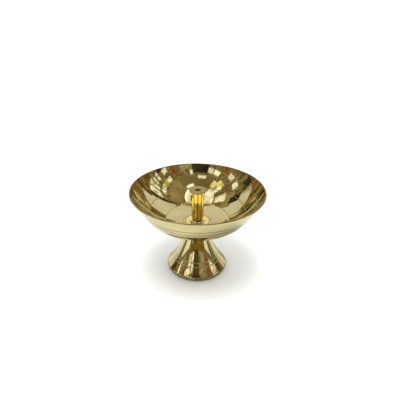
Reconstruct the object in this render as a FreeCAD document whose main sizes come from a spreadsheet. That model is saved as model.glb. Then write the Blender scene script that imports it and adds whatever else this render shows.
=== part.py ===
import FreeCAD, Part
import math
import os

import Sketcher

# Footed brass oil lamp: a shallow turned bowl on a flared hollow foot, with a fluted wick holder
# that screws into the middle of the bowl. Everything is turned about the Z axis.
# Millimetres. +Z is up, and the origin is the middle of the ring that the foot stands on.

SIZES = (
    # alias, value, meaning
    ("rim_nose_radius", 0.55, "half-round edge of the rim"),
    ("rim_outer_radius", 44.91, "where the rim's nose meets the outer lip"),
    ("rim_outer_height", 59.95, "height of that edge"),
    ("rim_inner_radius", 44.07, "where the rim's nose meets the inner lip"),
    ("rim_inner_height", 60.65, "height of that edge"),
    ("lip_start_radius", 37.15, "outer lip leaves the round of the bowl here"),
    ("lip_start_height", 48.05, "height of that edge"),
    ("bowl_outer_round", 30.95, "radius of the bowl's outer round in section"),
    ("bowl_base_radius", 11.09, "flat under the bowl"),
    ("bowl_base_height", 33.8, "underside of the bowl"),
    ("inner_wall_round", 60.0, "radius of the inner wall in section"),
    ("upper_line_radius", 39.0, "upper turned line on the inner wall"),
    ("upper_line_height", 53.62, "height of that line"),
    ("middle_line_radius", 31.85, "turned line half way up the inner wall"),
    ("middle_line_height", 46.42, "height of that line"),
    ("floor_radius", 21.5, "crease between the bowl's floor and its wall"),
    ("floor_height", 39.35, "height of that crease"),
    ("floor_round", 64.0, "radius of the dished floor in section"),
    ("seat_radius", 9.7, "flat pocket that takes the seat disc"),
    ("seat_edge_height", 36.93, "edge of that pocket"),
    ("seat_height", 36.3, "bottom of that pocket"),
    ("gasket_pocket_radius", 6.8, "pocket for the gasket"),
    ("gasket_height", 35.8, "bottom of the gasket"),
    ("clearance_hole_radius", 3.2, "hole for the stud through bowl, foot and washer"),
    ("line_cut_radius", 0.24, "round tool that cuts the turned lines"),
    ("outer_line_one", 39.4, "radius of the top turned line outside"),
    ("outer_line_one_height", 51.56, "its height"),
    ("outer_line_two", 37.5, "radius of the second turned line outside"),
    ("outer_line_two_height", 48.6, "its height"),
    ("outer_line_three", 34.5, "radius of the third turned line outside"),
    ("outer_line_three_height", 44.61, "its height"),
    ("foot_ring_inner", 17.2, "inner radius of the ring that stands on the table"),
    ("foot_ring_outer", 18.8, "outer radius of that ring"),
    ("foot_widest_radius", 20.79, "widest radius of the foot"),
    ("foot_widest_height", 3.6, "height of the widest place"),
    ("foot_lip_round", 4.25, "round under the widest place"),
    ("foot_shoulder_round", 1.5, "round above the widest place"),
    ("foot_shoulder_radius", 20.42, "where the shoulder meets the flare"),
    ("foot_shoulder_height", 4.59, "height of that edge"),
    ("foot_flare_round", 61.56, "radius of the flare in section"),
    ("foot_neck_radius", 8.22, "where the flare meets the neck"),
    ("foot_neck_height", 26.8, "height of that edge"),
    ("foot_neck_round", 5.0, "radius of the neck in section"),
    ("foot_top_radius", 9.776, "where the neck meets the top flange"),
    ("foot_top_height", 32.125, "height of that edge"),
    ("foot_flange_radius", 10.4, "flange that the bowl stands on"),
    ("foot_flange_height", 32.65, "lower edge of the flange"),
    ("foot_crown_height", 31.4, "underside of the foot's crown"),
    ("foot_inside_round", 63.56, "radius of the hollow's flare in section"),
    ("foot_inside_height", 5.6, "where the hollow starts to narrow"),
    ("foot_socket_radius", 6.4, "straight socket round the nut"),
    ("foot_socket_height", 25.94, "lower end of that socket"),
    ("foot_line_one", 14.95, "radius of the upper turned line on the foot"),
    ("foot_line_one_height", 12.03, "its height"),
    ("foot_line_two", 16.47, "radius of the lower turned line on the foot"),
    ("foot_line_two_height", 9.71, "its height"),
    ("disc_radius", 9.6, "seat disc"),
    ("disc_top", 37.2, "top of the seat disc"),
    ("disc_bore_radius", 3.1, "hole through the seat disc"),
    ("disc_edge_round", 0.5, "rounded edge of the disc"),
    ("disc_line_radius", 8.4, "ring cut in the top of the disc"),
    ("disc_line_cut", 0.32, "round tool that cuts that ring"),
    ("stud_head_radius", 5.2, "head of the hollow stud, sunk in the disc"),
    ("stud_recess_radius", 5.3, "recess for that head"),
    ("stud_head_bottom", 36.6, "underside of that head"),
    ("stud_radius", 3.0, "shank of the hollow stud, M6"),
    ("stud_end", 24.6, "lower end of the shank"),
    ("stud_bore_radius", 2.06, "tapped hole in the stud, M4"),
    ("stud_bore_bottom", 31.9, "bottom of that hole"),
    ("stud_slot_width", 1.0, "screwdriver slot in the head"),
    ("stud_slot_depth", 0.35, "its depth"),
    ("gasket_radius", 6.7, "gasket"),
    ("washer_radius", 6.1, "washer under the foot's crown"),
    ("washer_bottom", 30.4, "underside of the washer"),
    ("nut_flats", 10.0, "across the flats of the nut"),
    ("nut_bottom", 25.4, "underside of the nut"),
    ("nut_bevel", 0.55, "how far the nut's corners are turned down"),
    ("collar_radius", 5.0, "plain collar under the fluted post"),
    ("collar_top", 38.55, "top of the collar"),
    ("collar_edge_round", 0.5, "rounded top edge of the collar"),
    ("collar_bore_radius", 2.75, "collar turns freely on the post's neck"),
    ("collar_recess_radius", 3.1, "recess in the collar for the post's flange"),
    ("collar_recess_top", 37.65, "top of that recess"),
    ("oil_hole_radius", 0.45, "cross-drilled oil inlets"),
    ("oil_hole_height", 38.05, "height of the oil inlets"),
    ("post_thread_radius", 2.0, "threaded end of the post, M4"),
    ("post_end", 32.6, "lower end of the post"),
    ("post_end_bevel", 0.4, "bevel on the threaded end"),
    ("post_flange_radius", 3.0, "flange that keeps the collar on the post"),
    ("post_flange_top", 37.6, "top of that flange"),
    ("post_neck_radius", 2.7, "neck inside the collar"),
    ("post_groove_radius", 2.35, "oil groove in the neck"),
    ("post_groove_bottom", 37.75, "lower edge of that groove"),
    ("post_groove_top", 38.35, "upper edge of that groove"),
    ("post_flute_bottom", 38.95, "lower end of the fluted shaft"),
    ("post_foot_radius", 4.0, "fluted shaft at its lower end"),
    ("post_foot_round", 0.8, "rounded lower end of the shaft"),
    ("post_head_radius", 4.1, "fluted shaft under the cap"),
    ("post_shoulder", 59.3, "underside of the cap"),
    ("spigot_radius", 3.0, "spigot that the cap is pressed on"),
    ("spigot_top", 59.8, "top of that spigot"),
    ("wick_bore_radius", 2.05, "hole for the wick"),
    ("wick_bore_bottom", 39.8, "where the wick hole narrows"),
    ("wick_tip_radius", 1.5, "narrow end of the wick hole"),
    ("wick_tip_height", 39.4, "top of the narrow end"),
    ("wick_tip_bottom", 37.9, "bottom of the narrow end"),
    ("flute_count", 10, "flutes round the post"),
    ("flute_cut_radius", 0.5, "round tool that cuts a flute"),
    ("flute_depth_radius", 4.12, "radius of the circle that the tool's centre stands on"),
    ("cap_radius", 5.8, "cap on the post"),
    ("cap_foot_radius", 4.9, "underside of the cap"),
    ("cap_edge_bottom", 60.05, "lower corner of the cap's edge"),
    ("cap_edge_top", 60.35, "upper corner of the cap's edge"),
    ("cap_edge_round", 0.3, "rounded top edge of the cap"),
    ("cap_top", 60.65, "top of the cap"),
    ("wick_mouth_bevel", 0.15, "bevel at the mouth of the wick hole"),
)

ALIASES = [alias for alias, _, _ in SIZES]

doc = FreeCAD.newDocument("oil_lamp")
sheet = doc.addObject("Spreadsheet::Sheet", "Sizes")
for row, (alias, value, meaning) in enumerate(SIZES, start=1):
    sheet.set(f"A{row}", meaning)
    sheet.set(f"B{row}", str(value))
    sheet.setAlias(f"B{row}", alias)
doc.recompute()


def cells(expression):
    """The expression with each alias turned into a cell of the sheet."""
    words = []
    for word in expression.split():
        words.append("Sizes." + word if word in ALIASES else word)
    return " ".join(words)


def number(expression):
    """What the expression comes to now."""
    return float(sheet.evalExpression(cells(expression)))


def new_body(label):
    body = doc.addObject("PartDesign::Body", label)
    body.Label = label
    return body


def new_sketch(body, name, plane):
    """A sketch on one of the body's own origin planes."""
    sketch = body.newObject("Sketcher::SketchObject", name)
    origin_plane = next(item for item in body.Origin.OriginFeatures if item.Role == plane)
    sketch.AttachmentSupport = [(origin_plane, "")]
    sketch.MapMode = "FlatFace"
    return sketch


def bind(sketch, constraint, expression):
    """Adds a dimension and ties it to the sheet."""
    index = sketch.addConstraint(constraint)
    sketch.setExpression(f"Constraints[{index}]", cells(expression))


def arc_between(start, end, radius, turn):
    """A circle's arc from start to end. turn is +1 anticlockwise and -1 clockwise."""
    chord = end - start
    rise = math.sqrt(radius**2 - (chord.Length / 2) ** 2)
    side = FreeCAD.Vector(-chord.y, chord.x, 0).normalize() * rise * turn
    centre = start + chord / 2 + side
    circle = Part.Circle(centre, FreeCAD.Vector(0, 0, 1), radius)
    first, last = (start, end) if turn > 0 else (end, start)
    return Part.ArcOfCircle(circle, circle.parameter(first), circle.parameter(last))


def draw_outline(sketch, corners):
    """Draws a closed outline. A corner is (x, z), or (x, z, arc radius, turn) when the side that
    leaves it is an arc. Each coordinate is an expression, and "0" puts the corner on the Z axis."""
    points = [FreeCAD.Vector(number(corner[0]), number(corner[1]), 0) for corner in corners]
    ends = []
    for index, corner in enumerate(corners):
        start = points[index]
        end = points[(index + 1) % len(points)]
        if len(corner) == 4:
            turn = corner[3]
            side = sketch.addGeometry(arc_between(start, end, number(corner[2]), turn))
            bind(sketch, Sketcher.Constraint("Radius", side, number(corner[2])), corner[2])
            ends.append((side, 1, 2) if turn > 0 else (side, 2, 1))
        else:
            side = sketch.addGeometry(Part.LineSegment(start, end))
            ends.append((side, 1, 2))
    for index, (side, first, _) in enumerate(ends):
        previous, _, last = ends[index - 1]
        sketch.addConstraint(Sketcher.Constraint("Coincident", previous, last, side, first))
    for (side, first, _), corner, point in zip(ends, corners, points):
        if corner[0] == "0":
            sketch.addConstraint(Sketcher.Constraint("PointOnObject", side, first, -2))
        else:
            bind(sketch, Sketcher.Constraint("DistanceX", -1, 1, side, first, point.x), corner[0])
        bind(sketch, Sketcher.Constraint("DistanceY", -1, 1, side, first, point.y), corner[1])


def draw_circle(sketch, across, along, radius):
    """A circle in a sketch. across is an expression, or "0" for a circle on the sketch's Y axis."""
    centre = FreeCAD.Vector(number(across), number(along), 0)
    circle = sketch.addGeometry(Part.Circle(centre, FreeCAD.Vector(0, 0, 1), number(radius)))
    bind(sketch, Sketcher.Constraint("Radius", circle, number(radius)), radius)
    if across == "0":
        sketch.addConstraint(Sketcher.Constraint("PointOnObject", circle, 3, -2))
    else:
        bind(sketch, Sketcher.Constraint("DistanceX", -1, 1, circle, 3, centre.x), across)
    bind(sketch, Sketcher.Constraint("DistanceY", -1, 1, circle, 3, centre.y), along)


def draw_rectangle(sketch, half_width, bottom, top):
    """A rectangle that stands evenly on both sides of the sketch's Y axis."""
    right = number(half_width)
    low = number(bottom)
    high = number(top)
    points = [
        FreeCAD.Vector(-right, low, 0),
        FreeCAD.Vector(right, low, 0),
        FreeCAD.Vector(right, high, 0),
        FreeCAD.Vector(-right, high, 0),
    ]
    sides = []
    for index, point in enumerate(points):
        sides.append(sketch.addGeometry(Part.LineSegment(point, points[(index + 1) % 4])))
    for index, side in enumerate(sides):
        sketch.addConstraint(Sketcher.Constraint("Coincident", side, 2, sides[(index + 1) % 4], 1))
    sketch.addConstraint(Sketcher.Constraint("Vertical", sides[1]))
    sketch.addConstraint(Sketcher.Constraint("Horizontal", sides[2]))
    sketch.addConstraint(Sketcher.Constraint("Vertical", sides[3]))
    sketch.addConstraint(Sketcher.Constraint("Symmetric", sides[0], 1, sides[0], 2, -2))
    bind(sketch, Sketcher.Constraint("DistanceX", -1, 1, sides[0], 2, right), half_width)
    bind(sketch, Sketcher.Constraint("DistanceY", -1, 1, sides[0], 2, low), bottom)
    bind(sketch, Sketcher.Constraint("DistanceY", -1, 1, sides[1], 2, high), top)


def turn_outline(label, corners):
    """A new body turned about Z from an outline in its XZ plane."""
    body = new_body(label)
    sketch = new_sketch(body, label + "_outline", "XZ_Plane")
    draw_outline(sketch, corners)
    turned = body.newObject("PartDesign::Revolution", label + "_turned")
    turned.Profile = sketch
    turned.ReferenceAxis = (sketch, ["V_Axis"])
    turned.Angle = 360
    doc.recompute()
    return body


def volume_falls(body, feature_name, volume_before):
    """Stops if a cutting feature has cut nothing."""
    doc.recompute()
    if body.Shape.Volume >= volume_before:
        raise RuntimeError(feature_name + " cuts nothing")


def cut_lines(body, tool_radius, places):
    """Turns fine round-bottomed lines into a body, at each (radius, height)."""
    volume = body.Shape.Volume
    sketch = new_sketch(body, body.Label + "_lines", "XZ_Plane")
    for radius, height in places:
        draw_circle(sketch, radius, height, tool_radius)
    groove = body.newObject("PartDesign::Groove", body.Label + "_line_cut")
    groove.Profile = sketch
    groove.ReferenceAxis = (sketch, ["V_Axis"])
    groove.Angle = 360
    volume_falls(body, groove.Name, volume)


def cross_drill(body, radius, height):
    """Drills right through a body along X."""
    volume = body.Shape.Volume
    sketch = new_sketch(body, body.Label + "_cross_hole", "YZ_Plane")
    draw_circle(sketch, "0", height, radius)
    pocket = body.newObject("PartDesign::Pocket", body.Label + "_cross_drill")
    pocket.Profile = sketch
    pocket.Type = "ThroughAll"
    pocket.SideType = "Symmetric"
    volume_falls(body, pocket.Name, volume)


def plain_ring(label, inner, outer, bottom, top):
    return turn_outline(label, [(inner, bottom), (outer, bottom), (outer, top), (inner, top)])


def make_bowl():
    body = turn_outline(
        "bowl",
        [
            ("clearance_hole_radius", "bowl_base_height"),
            ("bowl_base_radius", "bowl_base_height", "bowl_outer_round", 1),
            ("lip_start_radius", "lip_start_height"),
            ("rim_outer_radius", "rim_outer_height", "rim_nose_radius", 1),
            ("rim_inner_radius", "rim_inner_height", "inner_wall_round", -1),
            ("floor_radius", "floor_height", "floor_round", -1),
            ("seat_radius", "seat_edge_height"),
            ("seat_radius", "seat_height"),
            ("gasket_pocket_radius", "seat_height"),
            ("gasket_pocket_radius", "gasket_height"),
            ("clearance_hole_radius", "gasket_height"),
        ],
    )
    cut_lines(
        body,
        "line_cut_radius",
        [
            ("upper_line_radius", "upper_line_height"),
            ("middle_line_radius", "middle_line_height"),
            ("floor_radius", "floor_height"),
            ("outer_line_one", "outer_line_one_height"),
            ("outer_line_two", "outer_line_two_height"),
            ("outer_line_three", "outer_line_three_height"),
        ],
    )
    return body


def make_foot():
    body = turn_outline(
        "foot",
        [
            ("foot_ring_inner", "0"),
            ("foot_ring_outer", "0", "foot_lip_round", 1),
            ("foot_widest_radius", "foot_widest_height", "foot_shoulder_round", 1),
            ("foot_shoulder_radius", "foot_shoulder_height", "foot_flare_round", -1),
            ("foot_neck_radius", "foot_neck_height", "foot_neck_round", -1),
            ("foot_top_radius", "foot_top_height"),
            ("foot_flange_radius", "foot_flange_height"),
            ("foot_flange_radius", "bowl_base_height"),
            ("clearance_hole_radius", "bowl_base_height"),
            ("clearance_hole_radius", "foot_crown_height"),
            ("foot_socket_radius", "foot_crown_height"),
            ("foot_socket_radius", "foot_socket_height", "foot_inside_round", 1),
            ("foot_ring_inner", "foot_inside_height"),
        ],
    )
    cut_lines(
        body,
        "line_cut_radius",
        [
            ("foot_line_one", "foot_line_one_height"),
            ("foot_line_two", "foot_line_two_height"),
        ],
    )
    return body


def make_seat_disc():
    body = turn_outline(
        "seat_disc",
        [
            ("disc_bore_radius", "seat_height"),
            ("disc_radius", "seat_height"),
            ("disc_radius", "disc_top - disc_edge_round", "disc_edge_round", 1),
            ("disc_radius - disc_edge_round", "disc_top"),
            ("stud_recess_radius", "disc_top"),
            ("stud_recess_radius", "stud_head_bottom"),
            ("disc_bore_radius", "stud_head_bottom"),
        ],
    )
    cut_lines(body, "disc_line_cut", [("disc_line_radius", "disc_top")])
    return body


def make_clamp_stud():
    body = turn_outline(
        "clamp_stud",
        [
            ("0", "stud_end"),
            ("stud_radius", "stud_end"),
            ("stud_radius", "stud_head_bottom"),
            ("stud_head_radius", "stud_head_bottom"),
            ("stud_head_radius", "disc_top"),
            ("stud_bore_radius", "disc_top"),
            ("stud_bore_radius", "stud_bore_bottom"),
            ("0", "stud_bore_bottom"),
        ],
    )
    volume = body.Shape.Volume
    sketch = new_sketch(body, "clamp_stud_slot_outline", "YZ_Plane")
    half_width = "stud_slot_width / 2"
    draw_rectangle(sketch, half_width, "disc_top - stud_slot_depth", "disc_top + stud_slot_depth")
    slot = body.newObject("PartDesign::Pocket", "clamp_stud_slot")
    slot.Profile = sketch
    slot.Type = "ThroughAll"
    slot.SideType = "Symmetric"
    volume_falls(body, slot.Name, volume)
    return body


def make_clamp_nut():
    """A hexagon nut. Its outline is turned to the corners' radius with bevelled ends, then six
    flats are cut by a pocket outside a hexagon."""
    corner = "nut_flats / 2 / cos(30deg)"
    body = turn_outline(
        "clamp_nut",
        [
            ("stud_radius", "nut_bottom"),
            ("nut_flats / 2", "nut_bottom"),
            (corner, "nut_bottom + nut_bevel"),
            (corner, "washer_bottom - nut_bevel"),
            ("nut_flats / 2", "washer_bottom"),
            ("stud_radius", "washer_bottom"),
        ],
    )
    volume = body.Shape.Volume
    sketch = new_sketch(body, "clamp_nut_hexagon", "XY_Plane")
    outer = number("nut_flats")
    inner = number(corner)
    ring = sketch.addGeometry(Part.Circle(FreeCAD.Vector(0, 0, 0), FreeCAD.Vector(0, 0, 1), outer))
    sketch.addConstraint(Sketcher.Constraint("Coincident", ring, 3, -1, 1))
    bind(sketch, Sketcher.Constraint("Radius", ring, outer), "nut_flats")
    guide = sketch.addGeometry(
        Part.Circle(FreeCAD.Vector(0, 0, 0), FreeCAD.Vector(0, 0, 1), inner), True
    )
    sketch.addConstraint(Sketcher.Constraint("Coincident", guide, 3, -1, 1))
    bind(sketch, Sketcher.Constraint("Radius", guide, inner), corner)
    points = []
    for index in range(6):
        angle = math.radians(60 * index)
        points.append(FreeCAD.Vector(inner * math.cos(angle), inner * math.sin(angle), 0))
    flats = []
    for index, point in enumerate(points):
        flats.append(sketch.addGeometry(Part.LineSegment(point, points[(index + 1) % 6])))
    for index, flat in enumerate(flats):
        sketch.addConstraint(Sketcher.Constraint("Coincident", flat, 2, flats[(index + 1) % 6], 1))
        sketch.addConstraint(Sketcher.Constraint("PointOnObject", flat, 1, guide))
    for flat in flats[1:]:
        sketch.addConstraint(Sketcher.Constraint("Equal", flats[0], flat))
    sketch.addConstraint(Sketcher.Constraint("PointOnObject", flats[0], 1, -1))
    cut = body.newObject("PartDesign::Pocket", "clamp_nut_flats")
    cut.Profile = sketch
    cut.Type = "ThroughAll"
    cut.SideType = "Symmetric"
    volume_falls(body, cut.Name, volume)
    return body


def make_post_collar():
    body = turn_outline(
        "post_collar",
        [
            ("collar_recess_radius", "disc_top"),
            ("collar_radius", "disc_top"),
            ("collar_radius", "collar_top - collar_edge_round", "collar_edge_round", 1),
            ("collar_radius - collar_edge_round", "collar_top"),
            ("collar_bore_radius", "collar_top"),
            ("collar_bore_radius", "collar_recess_top"),
            ("collar_recess_radius", "collar_recess_top"),
        ],
    )
    cross_drill(body, "oil_hole_radius", "oil_hole_height")
    return body


def make_wick_post():
    body = turn_outline(
        "wick_post",
        [
            ("0", "post_end"),
            ("post_thread_radius - post_end_bevel", "post_end"),
            ("post_thread_radius", "post_end + post_end_bevel"),
            ("post_thread_radius", "disc_top"),
            ("post_flange_radius", "disc_top"),
            ("post_flange_radius", "post_flange_top"),
            ("post_neck_radius", "post_flange_top"),
            ("post_neck_radius", "post_groove_bottom"),
            ("post_groove_radius", "post_groove_bottom"),
            ("post_groove_radius", "post_groove_top"),
            ("post_neck_radius", "post_groove_top"),
            ("post_neck_radius", "post_flute_bottom"),
            ("post_foot_radius - post_foot_round", "post_flute_bottom", "post_foot_round", 1),
            ("post_foot_radius", "post_flute_bottom + post_foot_round"),
            ("post_head_radius", "post_shoulder"),
            ("spigot_radius", "post_shoulder"),
            ("spigot_radius", "spigot_top"),
            ("wick_bore_radius", "spigot_top"),
            ("wick_bore_radius", "wick_bore_bottom"),
            ("wick_tip_radius", "wick_tip_height"),
            ("wick_tip_radius", "wick_tip_bottom"),
            ("0", "wick_tip_bottom"),
        ],
    )
    cross_drill(body, "oil_hole_radius", "oil_hole_height")
    cut_flutes(body)
    return body


def cut_flutes(body):
    """Cuts one flute along the front of the shaft, then repeats it round the post."""
    volume = body.Shape.Volume
    sketch = new_sketch(body, "wick_post_flute_outline", "XY_Plane")
    sketch.setExpression("AttachmentOffset.Base.z", cells("post_flute_bottom"))
    draw_circle(sketch, "0", "flute_depth_radius", "flute_cut_radius")
    flute = body.newObject("PartDesign::Pocket", "wick_post_flute")
    flute.Profile = sketch
    flute.Type = "Length"
    flute.Reversed = True
    flute.setExpression("Length", cells("post_shoulder - post_flute_bottom"))
    volume_falls(body, flute.Name, volume)
    volume = body.Shape.Volume
    pattern = body.newObject("PartDesign::PolarPattern", "wick_post_flutes")
    pattern.Originals = [flute]
    pattern.Axis = (sketch, ["N_Axis"])
    pattern.Angle = 360
    pattern.setExpression("Occurrences", cells("flute_count"))
    body.Tip = pattern
    volume_falls(body, pattern.Name, volume)


def make_wick_cap():
    return turn_outline(
        "wick_cap",
        [
            ("spigot_radius", "post_shoulder"),
            ("cap_foot_radius", "post_shoulder"),
            ("cap_radius", "cap_edge_bottom"),
            ("cap_radius", "cap_edge_top", "cap_edge_round", 1),
            ("cap_radius - cap_edge_round", "cap_top"),
            ("wick_bore_radius + wick_mouth_bevel", "cap_top"),
            ("wick_bore_radius", "cap_top - wick_mouth_bevel"),
            ("wick_bore_radius", "spigot_top"),
            ("spigot_radius", "spigot_top"),
        ],
    )


sub_parts = [
    make_bowl(),
    make_foot(),
    make_seat_disc(),
    plain_ring("gasket", "disc_bore_radius", "gasket_radius", "gasket_height", "seat_height"),
    make_clamp_stud(),
    plain_ring(
        "clamp_washer", "clearance_hole_radius", "washer_radius", "washer_bottom", "foot_crown_height"
    ),
    make_clamp_nut(),
    make_post_collar(),
    make_wick_post(),
    make_wick_cap(),
]

doc.recompute()
for item in doc.Objects:
    if "Invalid" in item.State or "Error" in item.State:
        raise RuntimeError(f"{item.Name} has state {item.State}")
for part in sub_parts:
    if part.Shape.isNull() or not part.Shape.isValid() or len(part.Shape.Solids) != 1:
        raise RuntimeError(part.Label + " is not one valid solid")

os.makedirs("parts", exist_ok=True)
for part in sub_parts:
    part.Shape.exportStep(f"parts/{part.Label}.step")
    print(f"{part.Label}: {part.Shape.Volume:.1f} mm3")
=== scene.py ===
import math

import bpy
from mathutils import Matrix, Vector


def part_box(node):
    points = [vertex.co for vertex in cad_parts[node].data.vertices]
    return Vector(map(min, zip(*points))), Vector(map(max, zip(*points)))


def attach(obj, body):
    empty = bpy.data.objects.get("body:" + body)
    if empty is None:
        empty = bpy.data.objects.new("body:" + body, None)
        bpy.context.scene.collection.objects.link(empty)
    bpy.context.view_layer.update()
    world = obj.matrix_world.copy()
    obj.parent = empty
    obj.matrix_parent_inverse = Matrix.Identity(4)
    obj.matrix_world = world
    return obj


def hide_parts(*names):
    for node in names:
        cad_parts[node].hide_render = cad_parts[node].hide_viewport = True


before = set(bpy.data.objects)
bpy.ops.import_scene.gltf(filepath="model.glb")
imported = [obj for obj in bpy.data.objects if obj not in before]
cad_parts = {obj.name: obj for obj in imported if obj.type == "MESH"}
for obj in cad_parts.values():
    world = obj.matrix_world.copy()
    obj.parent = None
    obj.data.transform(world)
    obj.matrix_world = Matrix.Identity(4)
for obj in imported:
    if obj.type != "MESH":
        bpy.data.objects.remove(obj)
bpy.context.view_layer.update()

# A footed brass oil lamp on a white table. The bowl and the foot are turned again here from their
# outlines in the CAD source, in finer steps, because they are mirrors. Lengths named _MM are in
# millimetres, and the rest are in metres.

MM = 0.001
LAMP_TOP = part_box("bowl")[1][2]
# Between which heights the brown of the bowl's rim and of the foot's lip starts, and where it ends.
# The rim's runs on past its top. The lip's brown is painted shade: it darkens what the lip mirrors
# of the table in its contact shadow.
RIM_DULL = (LAMP_TOP - 0.0006, LAMP_TOP - 0.0003)
RIM_BRIGHT = (LAMP_TOP + 0.0001, LAMP_TOP + 0.0002)
LIP_PAINTED_SHADE_START = (0.0047, 0.0043)
LIP_PAINTED_SHADE_END = (0.0013, 0.0008)
# Half the width of the stained metal along a turned line.
THIN_LINE = 0.00025
WIDE_LINE = 0.00036
# Inside this radius, which is the wick's hole, the cap is painted orange-brown and made less
# metallic: a painted reflection of light bouncing along the brass bore.
WICK_HOLE = 0.0021
# The post's colour is painted darkest inside the first of these radii, low in its flutes, and bright
# past the second: painted shade in the flutes.
FLUTE_PAINTED_SHADE = (0.0038, 0.0040)

# The camera looks down into the bowl from the front.
CAMERA_DISTANCE = 0.27577
CAMERA_ELEVATION = math.radians(26.127)
CAMERA_PITCH = math.radians(27.576)
CAMERA_YAW = math.radians(0.35)
CAMERA_ROLL = math.radians(0.951)
CAMERA_LENS = 37.8

# Outlines as in the CAD source: a corner is (radius, height), or (radius, height, arc radius, turn)
# where the side that leaves it is an arc, anticlockwise for turn 1 and clockwise for turn -1.
BOWL_OUTLINE_MM = (
    (3.2, 33.8),
    (11.09, 33.8, 30.95, 1),
    (37.15, 48.05),
    (44.91, 59.95, 0.55, 1),
    (44.07, 60.65, 60.0, -1),
    (21.5, 39.35, 64.0, -1),
    (9.7, 36.93),
    (9.7, 36.3),
    (6.8, 36.3),
    (6.8, 35.8),
    (3.2, 35.8),
)
BOWL_LINES_MM = (
    (39.4, 51.56),
    (37.5, 48.6),
    (34.5, 44.61),
    (39.0, 53.62),
    (31.85, 46.42),
    (21.5, 39.35),
)
FOOT_OUTLINE_MM = (
    (17.2, 0.0),
    (18.8, 0.0, 4.25, 1),
    (20.79, 3.6, 1.5, 1),
    (20.42, 4.59, 61.56, -1),
    (8.22, 26.8, 5.0, -1),
    (9.776, 32.125),
    (10.4, 32.65),
    (10.4, 33.8),
    (3.2, 33.8),
    (3.2, 31.4),
    (6.4, 31.4),
    (6.4, 25.94, 63.56, 1),
    (17.2, 5.6),
)
FOOT_LINES_MM = (
    (14.95, 12.03),
    (16.47, 9.71),
)
DISC_LINES_MM = ((8.4, 37.2),)
LINE_CUT_MM = 0.24
OUTLINE_STEP_MM = 0.45
ARC_STEP = math.radians(9)
COLUMNS = 360
SHARP_ANGLE = math.radians(35)

TABLE_WIDTH = 12

# What the brass mirrors of the table: a ring of ground that starts at the foot. It is in the bowl's
# shade up to the first radius of SHADE_EDGE, and in the open past the second, both measured from
# SHADE_CENTRE.
GROUND_START = 0.0195
GROUND_WIDTH = 0.18
SHADE_CENTRE = (0.008, 0.010, 0)
SHADE_EDGE = (0.034, 0.0445)

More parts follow.
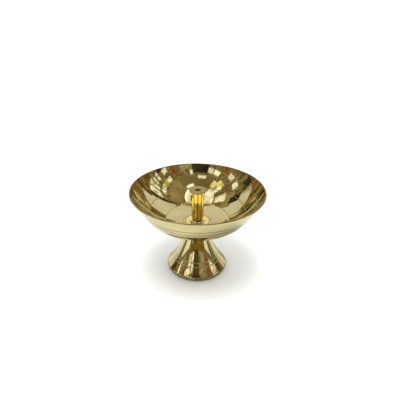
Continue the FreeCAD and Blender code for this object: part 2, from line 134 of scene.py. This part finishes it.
# What the brass mirrors, beyond the table. A card is (name, tone, from azimuth, to azimuth, from
# elevation, to elevation, layer), in degrees round the lamp. Azimuth 0 is behind it and 90 on its
# right. A higher layer stands nearer the lamp. Only reflections show these cards.
ROOM_RADIUS = 1.5
ROOM_STRENGTH = 1.14
ROOM_LAYER_GAP = 0.03
CARD_STEP = 3
ROOM_CARDS = (
    ("sweep", "sweep", -60, 60, 0, 70, 0),
    ("hall", "hall", 56, 304, 3, 57, 0),
    ("ceiling", "ceiling", 0, 360, 56, 90, 1),
    ("ceiling_back", "lamp", -54, 54, 64, 88, 2),
    ("ceiling_right", "lit", 60, 134, 73, 80, 2),
    ("ceiling_right_edge", "lamp", 76, 134, 73.2, 75.6, 3),
    ("ceiling_right_far", "lamp", 132, 162, 69, 72, 3),
    ("ceiling_left", "lit", 234, 303, 69, 82, 2),
    ("ceiling_warm", "wood", 60, 124, 54, 71, 2),
    ("centre_head", "dark", 166, 203, 40, 55, 3),
    ("centre_dark", "shade", 171, 180, 4, 42, 3),
    ("centre_brown", "shade", 180, 197, 4, 42, 2),
    ("centre_lamp", "lit", 180, 203, 57.5, 62, 3),
    ("centre_sign", "lit", 160, 167, 51, 57, 3),
    ("right_shelf", "cream", 138, 166, 14, 50, 1),
    ("right_strip", "cream", 160, 168, 30, 41, 2),
    ("right_red", "red", 121, 135, 9, 50, 2),
    ("right_pane_1", "panes", 60, 68, 30, 44, 2),
    ("right_pane_2", "panes", 70, 76, 30, 42, 2),
    ("right_pane_3", "panes", 79, 84, 33, 40, 2),
    ("right_pane_4", "panes", 87, 92, 33, 41, 2),
    ("right_pane_5", "panes", 96, 101, 18, 30, 2),
    ("right_pane_6", "panes", 104, 118, 18, 30, 2),
    ("right_pane_7", "panes", 102, 113, 36, 41.5, 2),
    ("right_pane_8", "panes", 70, 89, 45, 50, 2),
    ("right_yellow", "yellow", 91, 99, 46, 51.5, 3),
    ("right_sign", "lit", 100, 112, 47, 52, 3),
    ("right_olive", "olive", 112, 132, 51, 54, 3),
    ("right_dark", "dark", 80, 87, 10, 21, 2),
    ("right_dark_high", "dark", 94, 115, 31, 35.5, 2),
    ("right_beam", "shade", 53, 59, 30, 57, 3),
    ("left_pane_1", "panes", 198, 207, 15, 37, 3),
    ("left_pane_2", "panes", 211, 222, 16, 38, 3),
    ("left_pane_3", "lit", 204, 215, 47, 53.5, 3),
    ("left_pane_4", "lit", 218, 232, 47, 53, 3),
    ("left_red", "red", 234, 246, 25, 44, 2),
    ("left_pane_5", "lit", 252, 264, 40, 46, 2),
    ("left_pane_6", "lit", 272, 283, 39, 46, 2),
    ("left_sign", "straw", 228, 244, 59, 68, 3),
    ("left_sign_low", "straw", 241, 249, 54, 62, 3),
    ("left_yellow", "yellow", 249, 260, 54, 58, 4),
    ("left_pink", "red", 267, 275, 48, 53, 2),
    ("left_bright", "lit", 280, 299, 54, 67, 3),
    ("left_high", "wood", 286, 315, 43, 57, 2),
    ("left_bright_high", "lit", 250, 263, 58, 69, 3),
    ("left_pane_7", "panes", 222, 231, 31, 39, 3),
    ("left_low", "cream", 242, 254, 12, 30, 3),
    ("left_low_pane", "panes", 254, 260, 17, 31, 3),
    ("left_green", "olive", 246, 254, 33, 37, 2),
    ("left_dark_1", "dark", 276, 287, 10, 21, 2),
    ("left_dark_2", "dark", 285, 297, 23, 33, 2),
    ("left_dark_3", "dark", 297, 309, 35, 47, 3),
    ("low_olive", "olive", 138, 228, 4, 13, 4),
    ("side_right", "umber", 50, 80, 0, 30, 3),
    ("side_right_red", "red", 60, 72, 12, 20, 4),
    ("side_left", "umber", 282, 332, 0, 22, 3),
    ("side_right_low", "umber", 28, 51, 0, 19, 3),
    ("side_left_red", "red", 298, 311, 8, 19, 4),
)
# Low cards that stand on the table near the lamp: (name, tone, from azimuth, to azimuth, radius,
# height). Only the foot mirrors them above the horizon.
EDGE_CARDS = (
    ("edge_front", "umber", 124, 232, 0.15, 0.036),
    ("edge_front_pane", "cream", 199, 222, 0.145, 0.034),
    ("edge_front_right", "haze", 98, 124, 0.14, 0.036),
    ("edge_front_left", "haze", 232, 266, 0.14, 0.036),
    ("edge_right", "slate", 73, 98, 0.13, 0.030),
    ("edge_left", "slate", 266, 286, 0.13, 0.024),
    ("edge_right_far", "sweep", 48, 73, 0.13, 0.033),
    ("edge_left_far", "sweep", 286, 318, 0.13, 0.032),
)
# A tone is (darker colour, lighter colour, how finely the two are mixed in streaks).
ROOM_TONES = {
    "sweep": ((0.66, 0.67, 0.70), (0.78, 0.78, 0.79), 1.0),
    "hall": ((0.08, 0.06, 0.03), (0.38, 0.31, 0.18), 15.0),
    "wood": ((0.28, 0.225, 0.13), (0.42, 0.34, 0.20), 3.0),
    "ceiling": ((0.17, 0.135, 0.08), (0.25, 0.20, 0.12), 1.5),
    "lit": ((0.80, 0.84, 0.98), (1.42, 1.45, 1.58), 5.0),
    "lamp": ((1.9, 2.0, 2.1), (2.4, 2.5, 2.7), 3.0),
    "haze": ((0.18, 0.17, 0.13), (1.55, 1.62, 1.75), 46.0),
    "panes": ((0.13, 0.115, 0.075), (1.80, 1.86, 2.00), 20.0),
    "umber": ((0.07, 0.045, 0.018), (0.34, 0.24, 0.105), 7.0),
    "straw": ((0.90, 0.85, 0.45), (1.15, 1.05, 0.65), 4.0),
    "yellow": ((0.62, 0.52, 0.04), (0.85, 0.72, 0.08), 3.0),
    "olive": ((0.15, 0.105, 0.01), (0.26, 0.19, 0.03), 4.0),
    "red": ((0.14, 0.06, 0.03), (0.36, 0.18, 0.10), 14.0),
    "cream": ((0.11, 0.085, 0.045), (0.58, 0.53, 0.38), 14.0),
    "shade": ((0.05, 0.033, 0.016), (0.15, 0.102, 0.056), 6.0),
    "slate": ((0.07, 0.068, 0.05), (0.42, 0.42, 0.36), 40.0),
    "dark": ((0.02, 0.02, 0.014), (0.06, 0.052, 0.036), 4.0),
}


def make_camera():
    data = bpy.data.cameras.new("camera")
    data.lens = CAMERA_LENS
    data.sensor_width = 36
    data.clip_start = 0.01
    camera = bpy.data.objects.new("camera", data)
    bpy.context.scene.collection.objects.link(camera)
    forward = Vector(
        (
            math.sin(CAMERA_YAW) * math.cos(CAMERA_PITCH),
            math.cos(CAMERA_YAW) * math.cos(CAMERA_PITCH),
            -math.sin(CAMERA_PITCH),
        )
    )
    level_right = forward.cross(Vector((0, 0, 1))).normalized()
    level_up = level_right.cross(forward)
    right = math.cos(CAMERA_ROLL) * level_right + math.sin(CAMERA_ROLL) * level_up
    up = right.cross(forward)
    turn = Matrix((right, up, -forward)).transposed()
    camera.matrix_world = turn.to_4x4()
    camera.location = (
        0,
        -CAMERA_DISTANCE * math.cos(CAMERA_ELEVATION),
        LAMP_TOP + CAMERA_DISTANCE * math.sin(CAMERA_ELEVATION),
    )
    bpy.context.scene.camera = camera


# Outlines and turned meshes.


def side_points(start, end, arc_radius, turn):
    """Points from start up to but not including end, along a straight side or an arc."""
    chord = end - start
    if not arc_radius:
        count = max(1, round(chord.length / OUTLINE_STEP_MM))
        return [start + chord * (k / count) for k in range(count)]
    rise = math.sqrt(arc_radius**2 - (chord.length / 2) ** 2)
    across = Vector((-chord.y, chord.x)).normalized()
    centre = start + chord / 2 + across * rise * turn
    first = start - centre
    sweep = 2 * math.asin(chord.length / 2 / arc_radius) * turn
    step = min(OUTLINE_STEP_MM / arc_radius, ARC_STEP)
    count = max(1, round(abs(sweep) / step))
    points = []
    for k in range(count):
        angle = sweep * k / count
        turned = Vector(
            (
                first.x * math.cos(angle) - first.y * math.sin(angle),
                first.x * math.sin(angle) + first.y * math.cos(angle),
            )
        )
        points.append(centre + turned)
    return points


def circle_crossing(inside, outside, centre, radius):
    """The point between two others where the circle is crossed."""
    for _ in range(30):
        middle = (inside + outside) / 2
        if (middle - centre).length < radius:
            inside = middle
        else:
            outside = middle
    return outside


def cut_line(points, centre, radius):
    """The outline with a round-bottomed line cut into it at centre."""
    count = len(points)
    near = [(point - centre).length < radius for point in points]
    if not any(near):
        middle = min(range(count), key=lambda k: (points[k] - centre).length)
        points = points[:middle] + [centre.copy()] + points[middle:]
        near = near[:middle] + [True] + near[middle:]
        count += 1
    first = next(k for k in range(count) if near[k] and not near[k - 1])
    last = next(k for k in range(count) if near[k] and not near[(k + 1) % count])
    entry = circle_crossing(points[first], points[first - 1], centre, radius)
    leave = circle_crossing(points[last], points[(last + 1) % count], centre, radius)
    start = math.atan2(entry.y - centre.y, entry.x - centre.x)
    end = math.atan2(leave.y - centre.y, leave.x - centre.x)
    while end >= start:
        end -= 2 * math.pi
    steps = 10
    arc = []
    for k in range(steps + 1):
        angle = start + (end - start) * k / steps
        arc.append(centre + Vector((math.cos(angle), math.sin(angle))) * radius)
    return points[:first] + arc + points[last + 1 :]


def outline_points(corners, lines):
    """A closed outline in short steps, with its turned lines."""
    points = []
    for index, corner in enumerate(corners):
        following = corners[(index + 1) % len(corners)]
        arc_radius, turn = corner[2:] if len(corner) == 4 else (0, 0)
        points += side_points(Vector(corner[:2]), Vector(following[:2]), arc_radius, turn)
    for line in lines:
        points = cut_line(points, Vector(line), LINE_CUT_MM)
    return points


def turn_piece(name, corners, lines):
    """Turns an outline about the Z axis into a closed mesh."""
    points = outline_points(corners, lines)
    rows = len(points)
    vertices = []
    for column in range(COLUMNS):
        angle = 2 * math.pi * column / COLUMNS
        across = Vector((math.cos(angle), math.sin(angle)))
        vertices += [(p.x * across.x * MM, p.x * across.y * MM, p.y * MM) for p in points]
    faces = []
    for column in range(COLUMNS):
        here = column * rows
        there = (column + 1) % COLUMNS * rows
        for row in range(rows):
            above = (row + 1) % rows
            faces.append((here + row, there + row, there + above, here + above))
    mesh = bpy.data.meshes.new(name)
    mesh.from_pydata(vertices, [], faces)
    mesh.shade_smooth()
    mesh.set_sharp_from_angle(angle=SHARP_ANGLE)
    piece = bpy.data.objects.new(name, mesh)
    bpy.context.scene.collection.objects.link(piece)
    return piece


# Materials.


def add_node(tree, kind, values=None, **settings):
    """A new node. A value that is a socket is linked, and any other is set."""
    node = tree.nodes.new(kind)
    for key, value in settings.items():
        setattr(node, key, value)
    for socket, value in (values or {}).items():
        if isinstance(value, bpy.types.NodeSocket):
            tree.links.new(value, node.inputs[socket])
        else:
            node.inputs[socket].default_value = value
    return node


def calculate(tree, operation, first, second=0.0):
    return add_node(tree, "ShaderNodeMath", {0: first, 1: second}, operation=operation).outputs[0]


def rescale(tree, value, low, high, new_low, new_high):
    node = add_node(
        tree,
        "ShaderNodeMapRange",
        {"Value": value, "From Min": low, "From Max": high, "To Min": new_low, "To Max": new_high},
    )
    return node.outputs["Result"]


def blend_colours(tree, amount, first, second):
    node = add_node(tree, "ShaderNodeMix", {"Factor": amount}, data_type="RGBA")
    for socket, colour in ((node.inputs[6], first), (node.inputs[7], second)):
        if isinstance(colour, bpy.types.NodeSocket):
            tree.links.new(colour, socket)
        else:
            socket.default_value = (*colour, 1)
    return node.outputs[2]


def cloudy(tree, place, scale, detail=3.0):
    node = add_node(
        tree, "ShaderNodeTexNoise", {"Vector": place, "Scale": scale, "Detail": detail}
    )
    return node.outputs["Fac"]


def stretched(tree, place, turn, scale):
    """Places turned about Z and then stretched, for streaks."""
    node = add_node(
        tree,
        "ShaderNodeMapping",
        {"Vector": place, "Rotation": (0, 0, math.radians(turn)), "Scale": scale},
    )
    return node.outputs["Vector"]


def radius_and_height(tree, place):
    """Distance from the lamp's axis, and the height."""
    parts = add_node(tree, "ShaderNodeSeparateXYZ", {"Vector": place})
    across = calculate(tree, "MULTIPLY", parts.outputs["X"], parts.outputs["X"])
    deep = calculate(tree, "MULTIPLY", parts.outputs["Y"], parts.outputs["Y"])
    radius = calculate(tree, "SQRT", calculate(tree, "ADD", across, deep))
    return radius, parts.outputs["Z"]


def turning_marks(tree, place, lean, per_metre):
    """Fine uneven rings left by the lathe. lean is how fast a ring's height counts beside its
    radius, and is below zero where the surface narrows as it rises."""
    radius, height = radius_and_height(tree, place)
    raised = calculate(tree, "MULTIPLY", height, lean)
    along = calculate(tree, "ADD", radius, raised)
    node = add_node(
        tree,
        "ShaderNodeTexNoise",
        {"W": along, "Scale": per_metre, "Detail": 2.0, "Roughness": 0.6},
        noise_dimensions="1D",
    )
    return node.outputs["Fac"]


def inside_lines(tree, place, lines, half_width):
    """1 inside the turned lines given as (radius, height) in millimetres, and 0 away from them."""
    radius, height = radius_and_height(tree, place)
    inside = 0.0
    for line_radius, line_height in lines:
        aside = calculate(tree, "SUBTRACT", radius, line_radius * MM)
        above = calculate(tree, "SUBTRACT", height, line_height * MM)
        aside = calculate(tree, "MULTIPLY", aside, aside)
        above = calculate(tree, "MULTIPLY", above, above)
        distance = calculate(tree, "SQRT", calculate(tree, "ADD", aside, above))
        here = rescale(tree, distance, half_width * 0.8, half_width * 1.2, 1.0, 0.0)
        inside = calculate(tree, "MAXIMUM", here, inside)
    return inside


def scratches(tree, place, turn):
    """Sparse hairline scratches in one direction."""
    streaks = cloudy(tree, stretched(tree, place, turn, (2600, 90, 300)), 1.0, 1.0)
    return rescale(tree, streaks, 0.70, 0.76, 0.0, 1.0)


def raise_surface(tree, height, distance, under=None):
    values = {"Height": height, "Distance": distance, "Strength": 1.0}
    if under is not None:
        values["Normal"] = under
    return add_node(tree, "ShaderNodeBump", values).outputs["Normal"]


def new_metal(name):
    material = bpy.data.materials.new(name)
    material.use_nodes = True
    tree = material.node_tree
    shader = tree.nodes["Principled BSDF"]
    shader.inputs["Metallic"].default_value = 1.0
    place = add_node(tree, "ShaderNodeTexCoord").outputs["Object"]
    return material, tree, shader, place


def buffed_colour(tree, tarnish, marks, hairlines):
    """The colour of buffed brass under its tarnish, its faint rings and its hairlines."""
    worn = blend_colours(
        tree, rescale(tree, tarnish, 0.42, 0.72, 0.0, 1.0), (0.67, 0.58, 0.29), (0.60, 0.49, 0.22)
    )
    ringed = blend_colours(
        tree, rescale(tree, marks, 0.55, 0.8, 0.0, 0.35), worn, (0.55, 0.43, 0.19)
    )
    return blend_colours(
        tree, calculate(tree, "MULTIPLY", hairlines, 0.25), ringed, (0.40, 0.32, 0.16)
    )


def brown_band(tree, place, start, end):
    """How brown the metal is between two heights, in patches."""
    _, height = radius_and_height(tree, place)
    started = rescale(tree, height, *start, 0.0, 1.0)
    unfinished = rescale(tree, height, *end, 1.0, 0.0)
    dull = calculate(tree, "MULTIPLY", started, unfinished)
    patches = rescale(tree, cloudy(tree, place, 420, 2.0), 0.40, 0.56, 1.0, 0.72)
    return calculate(tree, "MULTIPLY", dull, patches)


def polished_brass(
    name, lean, brown_start, brown_end, brown_colour, darkened_lines, open_lines, open_width, open_colour
):
    """Buffed brass: a mirror with faint rings, a few hairlines and a little uneven tarnish. Between
    the given heights it is browner; on the foot's lower edge this brown is painted shade. The given
    darkened lines are darker brown, and the open ones are bare and rough."""
    material, tree, shader, place = new_metal(name)
    marks = turning_marks(tree, place, lean, 2200)
    tarnish = cloudy(tree, place, 55, 5.0)
    hairlines = calculate(
        tree, "MAXIMUM", scratches(tree, place, 25), scratches(tree, place, -50)
    )
    buffed = buffed_colour(tree, tarnish, marks, hairlines)
    brown = brown_band(tree, place, brown_start, brown_end)
    browned = blend_colours(tree, brown, buffed, brown_colour)
    # Darker brown inside the given turned lines.
    darkened = inside_lines(tree, place, darkened_lines, WIDE_LINE)
    darkening = calculate(tree, "MULTIPLY", darkened, 0.6)
    line_darkened = blend_colours(tree, darkening, browned, (0.12, 0.09, 0.04))
    bare = inside_lines(tree, place, open_lines, open_width)
    colour = blend_colours(tree, bare, line_darkened, open_colour)
    tree.links.new(colour, shader.inputs["Base Color"])
    cloud = rescale(tree, tarnish, 0.3, 0.75, 0.035, 0.09)
    worn_gloss = calculate(tree, "ADD", cloud, calculate(tree, "MULTIPLY", hairlines, 0.12))
    gloss = calculate(tree, "ADD", worn_gloss, calculate(tree, "MULTIPLY", bare, 0.3))
    tree.links.new(gloss, shader.inputs["Roughness"])
    waves = raise_surface(tree, cloudy(tree, place, 60, 1.0), 0.00002)
    rings = raise_surface(tree, marks, 0.0000012, waves)
    normal = raise_surface(tree, hairlines, -0.000002, rings)
    tree.links.new(normal, shader.inputs["Normal"])
    return material


def fluted_brass(name):
    """Drawn brass of a deeper gold, with fine lines along the post and painted shade darkening its
    flutes.
    """
    material, tree, shader, place = new_metal(name)
    drawn = cloudy(tree, stretched(tree, place, 0, (2400, 2400, 30)), 1.0, 1.0)
    tarnish = cloudy(tree, place, 260, 4.0)
    worn = blend_colours(
        tree, rescale(tree, tarnish, 0.4, 0.7, 0.0, 1.0), (1.0, 0.80, 0.22), (0.88, 0.66, 0.14)
    )
    lined = blend_colours(
        tree, rescale(tree, drawn, 0.5, 0.75, 0.0, 0.3), worn, (0.66, 0.44, 0.07)
    )
    radius, _ = radius_and_height(tree, place)
    # Painted shade: darker orange-gold low in the flutes.
    deep = rescale(tree, radius, *FLUTE_PAINTED_SHADE, 1.0, 0.0)
    colour = blend_colours(tree, deep, lined, (0.60, 0.40, 0.06))
    tree.links.new(colour, shader.inputs["Base Color"])
    gloss = rescale(tree, drawn, 0.3, 0.75, 0.22, 0.34)
    tree.links.new(gloss, shader.inputs["Roughness"])
    shader.inputs["Metallic"].default_value = 0.84
    normal = raise_surface(tree, drawn, 0.0000006)
    tree.links.new(normal, shader.inputs["Normal"])
    return material


def turned_brass(name, pale, dull, hole_radius, darkened_lines=()):
    """Brass as it leaves the lathe: satin, with fine rings, and orange-brown and less metallic
    inside its hole, a painted reflection of light bouncing along the brass bore. The given darkened
    lines are darker brown."""
    material, tree, shader, place = new_metal(name)
    marks = turning_marks(tree, place, 0.9, 4200)
    tarnish = cloudy(tree, place, 320, 4.0)
    worn = blend_colours(tree, rescale(tree, tarnish, 0.42, 0.72, 0.0, 1.0), pale, dull)
    colour = blend_colours(
        tree, rescale(tree, marks, 0.5, 0.8, 0.0, 0.4), worn, (0.36, 0.27, 0.10)
    )
    radius, _ = radius_and_height(tree, place)
    # Painted reflection: orange-brown inside the wick's hole.
    inside = rescale(tree, radius, hole_radius, hole_radius + 0.0001, 1.0, 0.0)
    painted_bore_reflection = blend_colours(tree, inside, colour, (0.62, 0.30, 0.03))
    darkening = inside_lines(tree, place, darkened_lines, WIDE_LINE)
    line_darkened = blend_colours(tree, darkening, painted_bore_reflection, (0.24, 0.16, 0.05))
    tree.links.new(line_darkened, shader.inputs["Base Color"])
    tree.links.new(rescale(tree, inside, 0.0, 1.0, 1.0, 0.3), shader.inputs["Metallic"])
    gloss = rescale(tree, marks, 0.3, 0.75, 0.22, 0.36)
    tree.links.new(gloss, shader.inputs["Roughness"])
    normal = raise_surface(tree, marks, 0.000004)
    tree.links.new(normal, shader.inputs["Normal"])
    return material


def seal_rubber(name):
    """Dark oil-proof rubber with a fine grain."""
    material = bpy.data.materials.new(name)
    material.use_nodes = True
    tree = material.node_tree
    shader = tree.nodes["Principled BSDF"]
    place = add_node(tree, "ShaderNodeTexCoord").outputs["Object"]
    grain = cloudy(tree, place, 2500, 4.0)
    cloud = cloudy(tree, place, 300, 3.0)
    colour = blend_colours(tree, cloud, (0.016, 0.015, 0.014), (0.045, 0.040, 0.036))
    tree.links.new(colour, shader.inputs["Base Color"])
    tree.links.new(rescale(tree, grain, 0.3, 0.7, 0.5, 0.8), shader.inputs["Roughness"])
    tree.links.new(raise_surface(tree, grain, 0.00002), shader.inputs["Normal"])
    return material


# The table, the lights and what the brass mirrors.


def table_material():
    material = bpy.data.materials.new("table")
    material.use_nodes = True
    tree = material.node_tree
    shader = tree.nodes["Principled BSDF"]
    place = add_node(tree, "ShaderNodeTexCoord").outputs["Object"]
    fibres = cloudy(tree, place, 900, 4.0)
    colour = blend_colours(tree, fibres, (0.90, 0.91, 0.895), (0.93, 0.94, 0.925))
    tree.links.new(colour, shader.inputs["Base Color"])
    shader.inputs["Roughness"].default_value = 0.75
    shader.inputs["Specular IOR Level"].default_value = 0.2
    return material


def make_table():
    mesh = bpy.data.meshes.new("table")
    half = TABLE_WIDTH / 2
    corners = [(-half, -half, 0), (half, -half, 0), (half, half, 0), (-half, half, 0)]
    mesh.from_pydata(corners, [], [(0, 1, 2, 3)])
    table = bpy.data.objects.new("table", mesh)
    bpy.context.scene.collection.objects.link(table)
    table.data.materials.append(table_material())


def tone_material(name, darker, lighter, fineness):
    material = bpy.data.materials.new("tone_" + name)
    material.use_nodes = True
    tree = material.node_tree
    tree.nodes.remove(tree.nodes["Principled BSDF"])
    place = add_node(tree, "ShaderNodeTexCoord").outputs["Object"]
    streaks = cloudy(tree, stretched(tree, place, 0, (1, 1, 0.3)), fineness, 3.0)
    colour = blend_colours(tree, rescale(tree, streaks, 0.35, 0.65, 0.0, 1.0), darker, lighter)
    glow = add_node(tree, "ShaderNodeEmission", {"Color": colour, "Strength": ROOM_STRENGTH})
    tree.links.new(glow.outputs[0], tree.nodes["Material Output"].inputs["Surface"])
    material.cycles.emission_sampling = "NONE"
    return material


def card_object(name, material, columns, rows, place_at):
    """A sheet seen only in reflections. place_at gives the place of a column and a row, both 0-1."""
    vertices = []
    for column in range(columns + 1):
        for row in range(rows + 1):
            vertices.append(place_at(column / columns, row / rows))
    faces = []
    for column in range(columns):
        for row in range(rows):
            first = column * (rows + 1) + row
            faces.append((first, first + 1, first + rows + 2, first + rows + 1))
    mesh = bpy.data.meshes.new(name)
    mesh.from_pydata(vertices, [], faces)
    mesh.materials.append(material)
    card = bpy.data.objects.new(name, mesh)
    bpy.context.scene.collection.objects.link(card)
    card.visible_camera = False
    card.visible_diffuse = False
    card.visible_transmission = False
    card.visible_volume_scatter = False
    card.visible_shadow = False


def make_sky_card(name, material, azimuths, elevations, radius):
    """A piece of a sphere round the lamp."""

    def place_at(across, up):
        azimuth = math.radians(azimuths[0] + (azimuths[1] - azimuths[0]) * across)
        elevation = math.radians(elevations[0] + (elevations[1] - elevations[0]) * up)
        level = radius * math.cos(elevation)
        height = radius * math.sin(elevation) + 0.001
        return (level * math.sin(azimuth), level * math.cos(azimuth), height)

    columns = max(1, round((azimuths[1] - azimuths[0]) / CARD_STEP))
    rows = max(1, round((elevations[1] - elevations[0]) / CARD_STEP))
    card_object(name, material, columns, rows, place_at)


def make_edge_card(name, material, azimuths, radius, height):
    """A low curved wall round the lamp."""

    def place_at(across, up):
        azimuth = math.radians(azimuths[0] + (azimuths[1] - azimuths[0]) * across)
        return (radius * math.sin(azimuth), radius * math.cos(azimuth), 0.0005 + height * up)

    card_object(name, material, round((azimuths[1] - azimuths[0]) / CARD_STEP), 3, place_at)


def shaded_ground():
    """What the brass mirrors of the table: darker under the bowl than out in the open."""
    material = bpy.data.materials.new("shaded_ground")
    material.use_nodes = True
    tree = material.node_tree
    tree.nodes.remove(tree.nodes["Principled BSDF"])
    place = add_node(tree, "ShaderNodeTexCoord").outputs["Object"]
    aside = add_node(
        tree, "ShaderNodeVectorMath", {0: place, 1: SHADE_CENTRE}, operation="SUBTRACT"
    )
    radius, _ = radius_and_height(tree, aside.outputs["Vector"])
    open_air = rescale(tree, radius, *SHADE_EDGE, 0.0, 1.0)
    colour = blend_colours(tree, open_air, (0.42, 0.43, 0.38), (1.02, 1.02, 0.97))
    glow = add_node(tree, "ShaderNodeEmission", {"Color": colour, "Strength": 1.0})
    tree.links.new(glow.outputs[0], tree.nodes["Material Output"].inputs["Surface"])
    material.cycles.emission_sampling = "NONE"
    return material


def make_ground_card():

    def place_at(across, out):
        azimuth = math.radians(360 * across)
        radius = GROUND_START + GROUND_WIDTH * out
        return (radius * math.sin(azimuth), radius * math.cos(azimuth), 0.0004)

    card_object("room_ground", shaded_ground(), 120, 30, place_at)


def make_room():
    make_ground_card()
    tones = {name: tone_material(name, *values) for name, values in ROOM_TONES.items()}
    for name, tone, left, right, low, high, layer in ROOM_CARDS:
        radius = ROOM_RADIUS - layer * ROOM_LAYER_GAP
        make_sky_card("room_" + name, tones[tone], (left, right), (low, high), radius)
    for name, tone, left, right, radius, height in EDGE_CARDS:
        make_edge_card("room_" + name, tones[tone], (left, right), radius, height)


def make_area_light(name, place, size, power):
    data = bpy.data.lights.new(name, "AREA")
    data.shape = "DISK"
    data.size = size
    data.energy = power
    light = bpy.data.objects.new(name, data)
    bpy.context.scene.collection.objects.link(light)
    light.location = place
    light.rotation_euler = (-Vector(place)).to_track_quat("-Z", "Y").to_euler()
    light.visible_glossy = False


def make_lights():
    world = bpy.data.worlds.new("world")
    bpy.context.scene.world = world
    world.use_nodes = True
    background = world.node_tree.nodes["Background"]
    background.inputs["Color"].default_value = (0.985, 0.99, 1.0, 1)
    background.inputs["Strength"].default_value = 1.13
    make_area_light("overhead", (-0.05, -0.08, 0.9), 0.5, 4.5)


make_camera()
make_table()
make_lights()
make_room()

BRASS_CUP = polished_brass(
    "polished_brass_cup",
    lean=0.9,
    brown_start=RIM_DULL,
    brown_end=RIM_BRIGHT,
    brown_colour=(0.30, 0.22, 0.10),
    darkened_lines=BOWL_LINES_MM[:3],
    open_lines=BOWL_LINES_MM[3:5],
    open_width=THIN_LINE,
    open_colour=(0.50, 0.385, 0.165),
)
# Low on the foot the brown band is painted shade, darkening what the lip mirrors of the table beside
# it.
BRASS_FLARE = polished_brass(
    "polished_brass_flare",
    lean=-0.9,
    brown_start=LIP_PAINTED_SHADE_START,
    brown_end=LIP_PAINTED_SHADE_END,
    brown_colour=(0.25, 0.185, 0.085),
    darkened_lines=(),
    open_lines=FOOT_LINES_MM,
    open_width=WIDE_LINE,
    open_colour=(0.66, 0.54, 0.30),
)
BRASS_FLUTED = fluted_brass("fluted_brass")
BRASS_DISC = turned_brass(
    "disc_brass", (0.83, 0.73, 0.34), (0.76, 0.65, 0.28), 0.0, DISC_LINES_MM
)
# Collar brass paled almost to white: a painted highlight for the bright ring the collar shows.
BRASS_COLLAR_PAINTED_HIGHLIGHT = turned_brass("collar_brass_painted_highlight", (0.97, 0.92, 0.72), (0.92, 0.86, 0.62), 0.0)
BRASS_SATIN = turned_brass("satin_brass", (0.42, 0.31, 0.10), (0.36, 0.265, 0.085), WICK_HOLE)
BRASS_TURNED = turned_brass("turned_brass", (0.76, 0.64, 0.36), (0.62, 0.48, 0.22), 0.0)
RUBBER = seal_rubber("seal_rubber")

bowl = turn_piece("bowl_turned", BOWL_OUTLINE_MM, BOWL_LINES_MM)
bowl.data.materials.append(BRASS_CUP)
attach(bowl, "lamp")
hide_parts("bowl")

foot = turn_piece("foot_turned", FOOT_OUTLINE_MM, FOOT_LINES_MM)
foot.data.materials.append(BRASS_FLARE)
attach(foot, "lamp")
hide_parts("foot")

CAD_MATERIALS = {
    "bowl": BRASS_CUP,
    "foot": BRASS_FLARE,
    "seat_disc": BRASS_DISC,
    "post_collar": BRASS_COLLAR_PAINTED_HIGHLIGHT,
    "wick_post": BRASS_FLUTED,
    "wick_cap": BRASS_SATIN,
    "clamp_stud": BRASS_TURNED,
    "clamp_washer": BRASS_TURNED,
    "clamp_nut": BRASS_TURNED,
    "gasket": RUBBER,
}
for name, material in CAD_MATERIALS.items():
    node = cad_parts[name]
    node.data.materials.clear()
    node.data.materials.append(material)

bpy.context.scene.view_settings.view_transform = "Standard"
bpy.context.scene.cycles.glossy_bounces = 8
